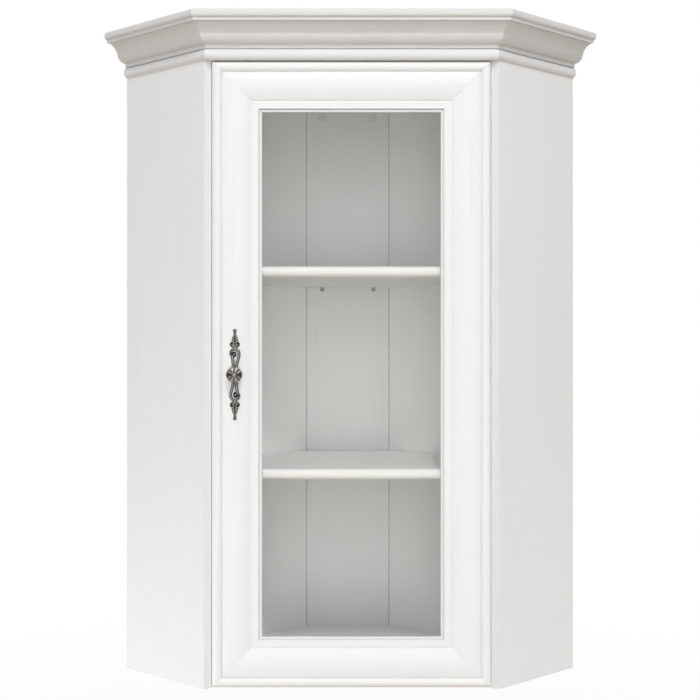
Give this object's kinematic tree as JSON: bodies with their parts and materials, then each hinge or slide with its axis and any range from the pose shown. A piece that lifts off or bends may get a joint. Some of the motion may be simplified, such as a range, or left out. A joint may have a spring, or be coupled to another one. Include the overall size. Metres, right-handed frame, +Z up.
{
  "type": "corner wall cabinet",
  "caption": "Diagonal corner wall cabinet with a glazed, moulded door on concealed hinges, shelves, a cornice and wall hangers.",
  "frame": {"origin": "centre of the bounding box in plan, at the level of the sides' feet", "axes": "+X to the right seen from the front, +Y towards the room's corner, +Z up; the door faces -Y"},
  "size_m": [0.8486, 0.4928, 1.105],
  "materials": {
    "white_foil_board": "satin white foil with a faint vertical grain",
    "white_hardboard": "smooth matt white",
    "bare_wood": "bare planed softwood",
    "clear_glass": "clear float glass",
    "antique_brass": "darkened, worn bright on the raised parts",
    "nickel_steel": "nickel plated",
    "zinc_steel": "zinc plated",
    "cast_zinc": "bare die-cast zinc",
    "white_plastic": "matt",
    "soft_rubber": "translucent"
  },
  "bodies": {
    "carcass": {"arm_pins": "nickel_steel", "back_panel_left": "white_hardboard", "back_panel_right": "white_hardboard", "back_panel_screws": "zinc_steel", "bottom_panel": "white_foil_board", "bracket_screws": "zinc_steel", "cam_bolts": "cast_zinc", "cam_caps": "white_plastic", "cam_locks": "cast_zinc", "corner_back_strip": "white_foil_board", "cornice_battens": "bare_wood", "cornice_blocks": "bare_wood", "cornice_cap": "white_foil_board", "crown_front": "white_foil_board", "crown_left": "white_foil_board", "crown_right": "white_foil_board", "door_bumpers": "soft_rubber", "dowels": "bare_wood", "hanger_bracket_left": "zinc_steel", "hanger_bracket_right": "zinc_steel", "hinge_arm_lower": "nickel_steel", "hinge_arm_middle": "nickel_steel", "hinge_arm_screws": "nickel_steel", "hinge_arm_upper": "nickel_steel", "hinge_plate_lower": "nickel_steel", "hinge_plate_middle": "nickel_steel", "hinge_plate_screws": "nickel_steel", "hinge_plate_upper": "nickel_steel", "lower_shelf": "white_foil_board", "shelf_pins": "cast_zinc", "side_panel_left": "white_foil_board", "side_panel_right": "white_foil_board", "top_board": "white_foil_board", "upper_shelf": "white_foil_board"},
    "hinge_links": {"hinge_link_lower": "nickel_steel", "hinge_link_middle": "nickel_steel", "hinge_link_upper": "nickel_steel"},
    "door": {"cup_pins": "nickel_steel", "cup_screws": "nickel_steel", "door_rail_bottom": "white_foil_board", "door_rail_top": "white_foil_board", "door_stile_left": "white_foil_board", "door_stile_right": "white_foil_board", "frame_dowels": "bare_wood", "glass_pane": "clear_glass", "glazing_bead_bottom": "white_foil_board", "glazing_bead_left": "white_foil_board", "glazing_bead_right": "white_foil_board", "glazing_bead_top": "white_foil_board", "handle_backplate": "antique_brass", "handle_knob": "antique_brass", "hinge_cup_lower": "nickel_steel", "hinge_cup_middle": "nickel_steel", "hinge_cup_upper": "nickel_steel", "knob_screw": "zinc_steel"}
  },
  "joints": [
    {"name": "link_swing", "type": "hinge", "parent": "carcass", "child": "hinge_links", "pos_m": [0.19672, -0.17931, 0.5165], "axis": [0, 0, 1], "range_deg": [-52.18, 0]},
    {"name": "door_swing", "type": "hinge", "parent": "hinge_links", "child": "door", "pos_m": [0.21712, -0.17991, 0.5165], "axis": [0, 0, 1], "range_deg": [0, 145.08]}
  ],
  "couplings": [
    {"joint": "link_swing", "follows": "door_swing", "ratio": -0.35897}
  ]
}
